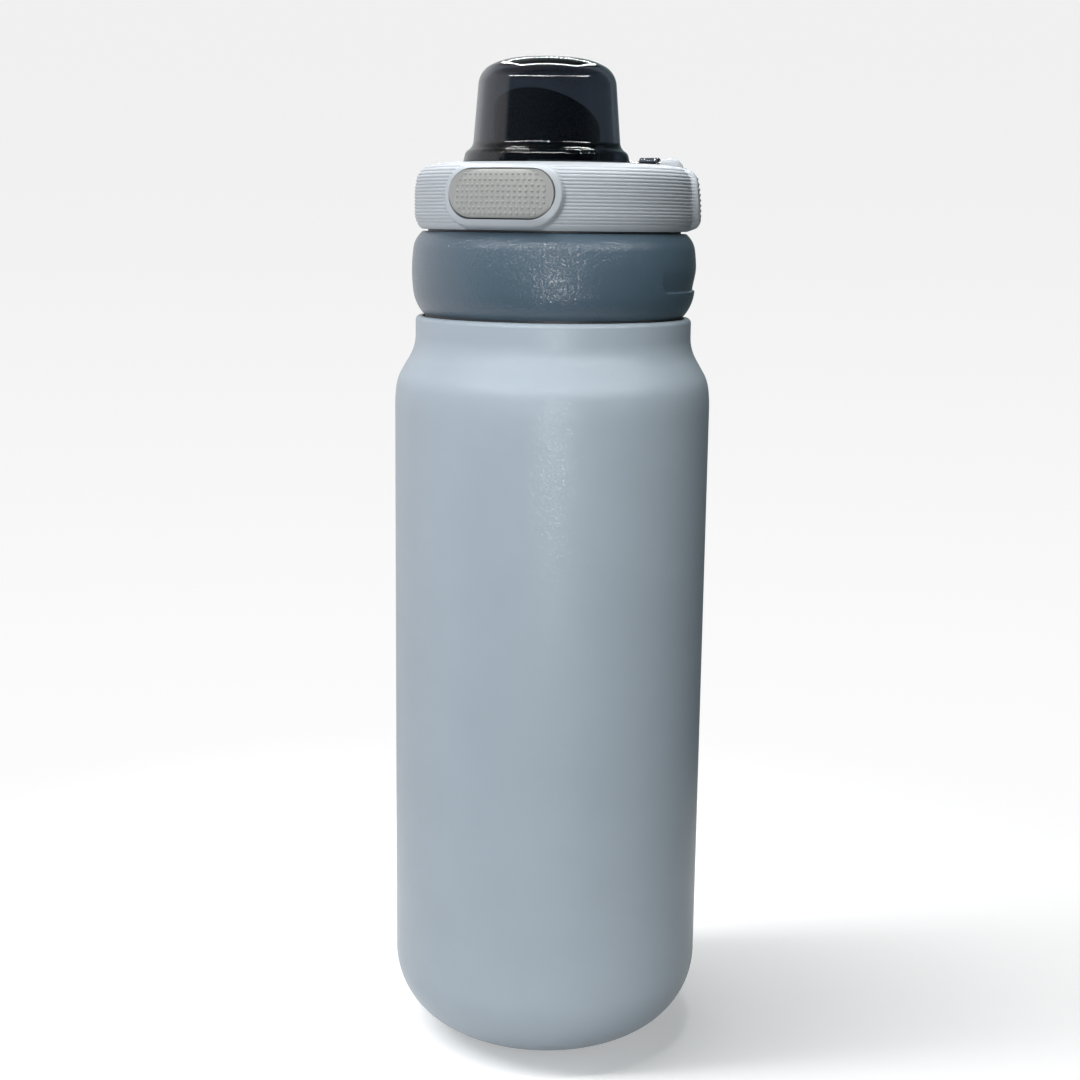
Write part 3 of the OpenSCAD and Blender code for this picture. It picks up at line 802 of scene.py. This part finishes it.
def dotted_pad(name, back_r):
    """A pad with a softened edge, a crowned face and rows of raised dots."""
    edges = [(0.0, -0.55), (0.05, -0.3), (0.16, -0.12), (0.34, -0.02), (0.6, 0)]
    edges += [(step, 0) for step in (1.4, 2.3, 3.2, 4.1, 5.0)]
    rings = [stadium(pad_w - 2 * inset, pad_h - 2 * inset, pad_z) for inset, _ in edges]
    count = len(rings[0])
    points = [(u, -back_r, z) for u, z in rings[0]]
    for ring, (_, lift) in zip(rings, edges):
        points += [on_pad(u, z, lift) for u, z in ring]
    faces = bands(len(edges) + 1, count)
    faces.append(list(range(count))[::-1])
    # the innermost ring is zipped shut between its lower and upper halves
    faces += zip_strip([len(edges) * count + k for k in range(count)])
    pad = mesh_object(name, points, faces, 40)
    dots = [bead(f"{name}_dot_{row}_{col}", *at) for row, col, at in dot_places()]
    combine(pad, [join(f"{name}_dots", dots)], "UNION", 50)
    return pad


def zip_strip(loop):
    """Quads across a stadium's loop of points, from the middle of one round end to the other."""
    count = len(loop)
    start = END_STEPS // 2
    faces = []
    for k in range(count // 2):
        a, b = (start - k) % count, (start - k - 1) % count
        c, d = (start + k + 1) % count, (start + k) % count
        quad = [loop[b], loop[a], loop[d], loop[c]]
        faces.append([v for i, v in enumerate(quad) if v not in quad[:i]])
    return [f for f in faces if len(f) > 2]


def dot_places():
    across, up = 1.24, 1.17
    for row, columns in enumerate(DOT_ROWS):
        z = pad_z + (row - (len(DOT_ROWS) - 1) / 2) * up
        for col in range(columns):
            yield row, col, ((col - (columns - 1) / 2) * across, z)


def bead(name, u, z):
    """One low round dot of the pad, sunk a little into its face."""
    r, rise, sunk, sides = 0.4, 0.22, 0.15, 12
    centre = Vector(on_pad(u, z, -sunk))
    out = Vector((centre.x, centre.y, 0)).normalized()
    across = Vector((-out.y, out.x, 0))
    up = Vector((0, 0, 1))
    rings = [(r, 0), (r, 0.1), (r * 0.93, 0.2), (r * 0.7, 0.29), (r * 0.36, 0.35)]
    points = [centre]
    for radius, height in rings:
        for k in range(sides):
            t = 2 * math.pi * k / sides
            points.append(centre + (across * math.cos(t) + up * math.sin(t)) * radius + out * height)
    points.append(centre + out * (rise + sunk))
    top = len(points) - 1
    last = top - sides
    faces = [[0, 1 + (k + 1) % sides, 1 + k] for k in range(sides)]
    faces += [[1 + v for v in quad] for quad in bands(len(rings), sides)]
    faces += [[last + k, last + (k + 1) % sides, top] for k in range(sides)]
    return mesh_object(name, [tuple(p) for p in points], faces)


def join(name, parts):
    """Separate solids as one object."""
    points, faces = [], []
    for part in parts:
        start = len(points)
        points += [tuple(v.co / MM) for v in part.data.vertices]
        faces += [[start + k for k in p.vertices] for p in part.data.polygons]
        bpy.data.objects.remove(part)
    return mesh_object(name, points, faces)


def pads():
    push_back_r, grip_back_r = 31.25, 27
    front = to_lid(dotted_pad("push_pad", push_back_r))
    place(front, "button", PAD, "pad_rubber", "front_button")
    for name, turn, node in (
        ("grip_pad_right", side_turn, "side_grip_right"),
        ("grip_pad_left", -side_turn, "side_grip_left"),
    ):
        pad = dotted_pad(name, grip_back_r)
        pad.data.transform(Matrix.Rotation(turn, 4, "Z"))
        place(to_lid(pad), "upper_lid", PAD, "pad_rubber", node)


# ---- Spout ----
def spout():
    bore, low, mid, slant = 9.9, 200.05, 215.2, math.radians(29)
    flange_r, flange_top, edge = 13.1, 201.4, 0.2
    lip = (spout_r - bore) / 2
    flat_z = 204.0
    outline = (
        [(bore, low + edge), (bore + edge, low), (flange_r - edge, low), (flange_r, low + edge)]
        + [(flange_r, flange_top - edge), (flange_r - edge, flange_top)]
        + [(spout_r, flange_top), (spout_r, flat_z)]
        + line((spout_r, flat_z), (spout_r, mid - lip), 14)
        + arc((spout_r, mid - lip), lip, 0, 90, 8)[1:]
        + arc((bore + lip, mid), lip, 90, 180, 8)[1:]
        + line((bore, mid - lip), (bore, flat_z), 14)
    )

    def slanted(turn, r, z):
        share = np.clip((z - flat_z) / (mid - flat_z), 0, 1)
        return r, z + share * np.tan(slant) * r * np.cos(turn)

    piece = to_lid(revolve("drinking_spout", outline, 192, -dome_shift, slanted))
    place(piece, "upper_lid", SPOUT, "spout_plastic", "spout")


# ---- Dome ----
dome_foot_z = 205.55


def dome_cup():
    """The cover without its hinge and tooth, and the radius of its opening."""
    taper, wall, brow_bend, brow_slope = 4.75, 1.3, 5, 62
    wall_r, wall_low, crown_low = 16.45, 210.2, dome_top - 6.015
    foot_r, foot_edge = 18.7, 0.25
    flare, flare_end, skirt, skirt_bend = -2.6, 58, 12, 1.6
    crown = (wall_r - (crown_low - wall_low) * math.tan(math.radians(taper)), crown_low)
    flare_start = (
        wall_r - flare * (math.cos(math.radians(taper)) - math.cos(math.radians(flare_end))),
        wall_low + flare * (math.sin(math.radians(flare_end)) - math.sin(math.radians(taper))),
    )
    shoulder = arc(flare_start, skirt_bend, flare_end, skirt, 10)[::-1]
    brow = arc(crown, brow_bend, taper, brow_slope, 24)
    cap = arc(brow[-1], 14, brow_slope, 83, 8)
    crown_in = inward(crown, taper, wall)
    inner_r = crown_in[0] + (crown_in[1] - dome_foot_z) * math.tan(math.radians(taper))
    inner_brow = arc(crown_in, brow_bend - wall, taper, 60, 14)
    ceiling = dome_top - 3
    outside = (
        [(0, dome_foot_z), (inner_r + 0.2, dome_foot_z), (foot_r - foot_edge, dome_foot_z)]
        + arc((foot_r - foot_edge, dome_foot_z), foot_edge, -90, 0, 5)[1:]
        + shoulder
        + arc(flare_start, flare, flare_end, taper, 16)[1:]
        + line((wall_r, wall_low), crown, 8)[:-1]
        + brow
        + cap[1:]
        + [(cap[-1][0] * 0.5, dome_top - 0.1), (0, dome_top)]
    )
    inside = (
        [(0, dome_foot_z - 1), (inner_r, dome_foot_z - 1), (inner_r, dome_foot_z)]
        + inner_brow
        + [(inner_brow[-1][0] - 1.4, ceiling - 0.15), (inner_brow[-1][0] - 3.2, ceiling), (0, ceiling)]
    )
    cover = revolve("dome_cover", outside, 256, -dome_shift)
    combine(cover, [revolve("dome_hollow", inside, 256, -dome_shift)])
    return cover, inner_r


def dome():
    cover, inner_r = dome_cup()
    hinge_half, knuckle_r = 18.2, 1.7
    plate = prism("hinge_plate", rectangle(-hinge_half, hinge_half, 11.9, hinge_back), 204.2, 205.9)
    combine(cover, [plate, barrel("knuckles", (-hinge_half, hinge_half), knuckle_r)], "UNION")
    tooth_half, tab_half, tooth_low = 2.8, 2.9, 200.9
    tooth = prism("tooth", rectangle(-tooth_half, tooth_half, -25.1, -23.5), tooth_low, dome_foot_z + 0.2)
    nose = prism("nose", rectangle(-tooth_half, tooth_half, -23.51, -22.9), tooth_low, tooth_low + 1.1)
    tab = prism("tab", rectangle(-tab_half, tab_half, -25.2, -20.5), dome_foot_z - 0.01, dome_foot_z + 0.4)
    combine(cover, [tooth, nose, tab], "UNION")
    spring_half = 13.7
    spring_room = rectangle(-spring_half, spring_half, hinge_back - 3.4, hinge_back + 4.6)
    opening = circle(inner_r, (0, -dome_shift), 256)
    tools = [
        pin_bore("dome_pin_bore"),
        prism("spring_room", spring_room, 203, 209),
        prism("dome_way", opening, dome_foot_z - 3, dome_foot_z + 0.1),
    ]
    combine(cover, tools)
    place(to_lid(cover), "dome", SMOKED, "smoked_dome", "dome_cap")


# ---- Springs ----
def helix(r, pitch, turns, steps=24):
    """Points along a coil that climbs from the origin round Z."""
    return [
        (r * math.cos(2 * math.pi * i / steps), r * math.sin(2 * math.pi * i / steps), pitch * i / steps)
        for i in range(int(turns * steps) + 1)
    ]


def coils(name, sides_u, coil, wire, at, axis):
    """Equal coils on both sides of the lid, each turned a quarter round an axis and moved to at."""
    parts = []
    for side in (-1, 1):
        part = sweep(f"{name}_{side}", coil, wire)
        part.data.transform(
            Matrix.Translation(Vector((side * sides_u + at[0], at[1], at[2])) * MM)
            @ Matrix.Rotation(math.pi / 2, 4, axis)
        )
        parts.append(part)
    return to_lid(join(name, parts))


def hinge_springs():
    coil_r, pitch, turns, wire, spring_u = 1.45, 0.7, 7, 0.3, 8
    start = (-pitch * turns / 2, hinge_back, hinge_at.z)
    torsion = coils("hinge_springs", spring_u, helix(coil_r, pitch, turns), wire, start, "Y")
    place(torsion, "upper_lid", WIRE, "spring_steel", "dome_spring")


def return_springs():
    """The springs behind the push pad, at their resting length; the mesh doesn't shorten as the pad is
    pressed.
    """
    low, high = size_of("button_springs")
    coil_r, pitch, turns, wire, spring_u = 0.95, 0.9, 6.6, 0.22, 12.6
    start = (0, -15.25, (low.z + high.z) / 2)
    returns = coils("return_springs", spring_u, helix(coil_r, pitch, turns), wire, start, "X")
    place(returns, "upper_lid", WIRE, "spring_steel", "button_springs")
    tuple(button["axis"])
    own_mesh(returns)


def cad_finishes():
    """CAD pieces whose shape is right as it is get their materials."""
    for node, material in (
        ("base_cup", STEEL),
        ("getter_disc", STEEL),
        ("lid_core", CORE),
        ("hinge_pin", WIRE),
        ("latch_slide", LATCH),
    ):
        obj = frame["nodes"][node]
        obj.data.materials.clear()
        obj.data.materials.append(material)


# ---- Stage, light and camera ----
def floor():
    """A pale round floor that fades out into the backdrop."""
    reach, fade_from, fade_to = 2.0, 0.06, 0.26
    pale, dim = (0.86, 0.86, 0.86), (0.42, 0.42, 0.42)
    bpy.ops.mesh.primitive_circle_add(vertices=96, radius=reach, fill_type="NGON")
    ground = bpy.context.object
    ground.name = "floor"
    material, shader = new_material("floor", pale, 0.75)
    shader.inputs["Emission Color"].default_value = (1, 1, 1, 1)
    tree = material.node_tree
    ray = tree.nodes.new("ShaderNodeLightPath")
    seen = worked_out(tree, "MAXIMUM", ray.outputs["Is Camera Ray"], ray.outputs["Is Glossy Ray"])
    tree.links.new(spread(material, seen, 0.08, 0.29, 0, 1), shader.inputs["Emission Strength"])
    tint(material, shader, seen, dim, pale)
    where = tree.nodes.new("ShaderNodeTexCoord")
    far = tree.nodes.new("ShaderNodeVectorMath")
    far.operation = "LENGTH"
    clear = tree.nodes.new("ShaderNodeBsdfTransparent")
    mix = tree.nodes.new("ShaderNodeMixShader")
    tree.links.new(where.outputs["Object"], far.inputs[0])
    tree.links.new(map_range(tree, far.outputs["Value"], fade_from, fade_to, 0, 1), mix.inputs["Fac"])
    tree.links.new(shader.outputs["BSDF"], mix.inputs[1])
    tree.links.new(clear.outputs["BSDF"], mix.inputs[2])
    tree.links.new(mix.outputs["Shader"], tree.nodes["Material Output"].inputs["Surface"])
    ground.data.materials.append(material)
    return ground


def world():
    """Pale to the camera and through the dome. To every other ray it is bright at the left and the
    back, dim at the right and overhead, and dark and bluish in front."""
    backdrop = bpy.data.worlds.new("studio")
    scene.world = backdrop
    backdrop.use_nodes = True
    tree = backdrop.node_tree
    nodes, links = tree.nodes, tree.links
    nodes.clear()
    where = nodes.new("ShaderNodeTexCoord")
    parts = nodes.new("ShaderNodeSeparateXYZ")
    links.new(where.outputs["Generated"], parts.inputs["Vector"])
    right, back, up = (parts.outputs[axis] for axis in "XYZ")
    front = (-0.45, -0.3)       # where the dark front ends and the walls begin

    walls = map_range(tree, back, *front, 0.12, 1.0)
    sides = map_range(tree, right, -0.8, 0.6, 1.05, 0.07)
    ceiling = map_range(tree, up, 0.35, 0.8, 1.0, 0.25)
    warm = map_range(tree, right, -0.6, 0.5, 1.0, 0.7)
    red = worked_out(tree, "MULTIPLY", warm, map_range(tree, back, *front, 0.75, 1.0))
    cast = nodes.new("ShaderNodeCombineColor")
    links.new(red, cast.inputs["Red"])
    cast.inputs["Green"].default_value = 0.98
    links.new(map_range(tree, back, *front, 1.2, 1.0), cast.inputs["Blue"])
    glow = nodes.new("ShaderNodeBackground")
    links.new(cast.outputs["Color"], glow.inputs["Color"])
    strength = worked_out(tree, "MULTIPLY", worked_out(tree, "MULTIPLY", walls, sides), ceiling)
    links.new(strength, glow.inputs["Strength"])

    sky = map_range(tree, up, -0.38, 0.1, 0.985, 0.872)
    tone = nodes.new("ShaderNodeCombineColor")
    for channel in ("Red", "Green", "Blue"):
        links.new(sky, tone.inputs[channel])
    plain = nodes.new("ShaderNodeBackground")
    links.new(tone.outputs["Color"], plain.inputs["Color"])

    ray = nodes.new("ShaderNodeLightPath")
    seen = worked_out(tree, "MAXIMUM", ray.outputs["Is Camera Ray"], ray.outputs["Is Transmission Ray"])
    mix = nodes.new("ShaderNodeMixShader")
    out = nodes.new("ShaderNodeOutputWorld")
    links.new(seen, mix.inputs["Fac"])
    links.new(glow.outputs["Background"], mix.inputs[1])
    links.new(plain.outputs["Background"], mix.inputs[2])
    links.new(mix.outputs["Shader"], out.inputs["Surface"])


def area_light(name, at, towards, size, watts, glossy=False):
    """A lamp; unless glossy, it isn't mirrored or seen through the dome."""
    data = bpy.data.lights.new(name, "AREA")
    data.shape = "RECTANGLE"
    data.size, data.size_y = size
    data.energy = watts
    lamp = bpy.data.objects.new(name, data)
    lamp.location = at
    lamp.rotation_euler = (Vector(towards) - Vector(at)).to_track_quat("-Z", "Y").to_euler()
    lamp.visible_glossy = glossy
    lamp.visible_transmission = glossy
    scene.collection.objects.link(lamp)
    return lamp


def link_light(lamp, state, *objects):
    """Lets a lamp light only those objects (INCLUDE), or everything else (EXCLUDE)."""
    group = bpy.data.collections.new(lamp.name + "_receivers")
    for obj in objects:
        group.objects.link(obj)
    for member in group.collection_objects:
        member.light_linking.link_state = state
    lamp.light_linking.receiver_collection = group


def led_frame():
    """A frame of small bright tiles overhead and an arc of them in front, mirrored by the dome."""
    left, right, front, back, height = -0.118, 0.13, 0.05, 0.5, 0.5
    pitch, side_pitch, half_long = 0.0095, 0.012, 0.012
    tiles = []
    for x in np.arange(left, right, pitch):
        for y, half_wide in ((front, 0.0025), (back, 0.0022)):
            tiles.append(((x, y, height), (half_wide, 0, 0), (0, half_long, 0)))
    for y in np.arange(front, back, side_pitch):
        for x in (left, right):
            tiles.append(((x, y, height), (0.005, 0, 0), (0, 0.004, 0)))
    middle, reach, rise = Vector((0, 0, 0.215)), 0.7, 0.6
    for turn in np.radians(np.arange(-72, 76, 2.2)):
        out = Vector((math.sin(turn), -math.cos(turn), 0))
        across = Vector((-out.y, out.x, 0))
        at = middle + reach * (out + Vector((0, 0, rise)))
        tiles.append((at, across * 0.007, (0, 0, 0.018)))
    points = []
    for at, across, along in tiles:
        at, across, along = Vector(at), Vector(across), Vector(along)
        points += [at - across - along, at + across - along, at + across + along, at - across + along]
    faces = [[4 * tile + k for k in range(4)] for tile in range(len(tiles))]
    leds = mesh_object("led_frame", np.array(points) / MM, faces)
    material = bpy.data.materials.new("led")
    material.use_nodes = True
    tree = material.node_tree
    glow = tree.nodes.new("ShaderNodeEmission")
    glow.inputs["Strength"].default_value = 80
    tree.links.new(glow.outputs["Emission"], tree.nodes["Material Output"].inputs["Surface"])
    leds.data.materials.append(material)
    leds.visible_camera = False
    leds.visible_diffuse = False
    leds.visible_transmission = False
    leds.visible_shadow = False


def lights(ground):
    """The first lamp lights the floor alone, for a clean shadow, and the next two all but the floor.
    The sheen adds soft light to the body and the collar only. Of the lamps, just the one beside the
    camera shows in reflections."""
    shadow = area_light("left_strip", (-0.22, -0.035, 0.56), (0, 0, 0.02), (0.13, 0.7), 4.7)
    link_light(shadow, "INCLUDE", ground)
    ceiling = area_light("ceiling", (0.0, -0.05, 0.55), (0, 0, 0.1), (0.36, 0.46), 2.4)
    key = area_light("front_left", (-0.23, -0.51, 0.28), (0, 0, 0.12), (0.25, 0.2), 0.92)
    for lamp in (ceiling, key):
        link_light(lamp, "EXCLUDE", ground)
    sheen = area_light("front_sheen", (0.0, -0.32, 0.52), (0, 0, 0.16), (0.3, 0.08), 0.52)
    link_light(sheen, "INCLUDE", bpy.data.objects["body_shell"], bpy.data.objects["collar"])
    area_light("camera_light", (0.012, -0.4, 0.135), (0, 0, 0.16), (0.03, 0.03), 0.42, glossy=True)
    led_frame()


def camera():
    at = (-0.00243, -0.3985, 0.19294)
    look_down, roll = 10.576, 0.72      # degrees
    data = bpy.data.cameras.new("camera")
    data.lens = 57.036
    data.sensor_width = 36
    data.clip_start, data.clip_end = 0.01, 20
    eye = bpy.data.objects.new("camera", data)
    eye.matrix_world = (
        Matrix.Translation(at)
        @ Matrix.Rotation(math.radians(90 - look_down), 4, "X")
        @ Matrix.Rotation(math.radians(roll), 4, "Z")
    )
    scene.collection.objects.link(eye)
    scene.camera = eye


camera()
scene.view_settings.view_transform = "Standard"
world()
outer_shell()
inner_flask()
collar_shell()
collar_insert()
neck_seal()
mouth_seal()
dome_seal()
spout_seal()
upper_ring()
pads()
spout()
dome()
hinge_springs()
return_springs()
cad_finishes()
lights(floor())

bpy.context.view_layer.update()
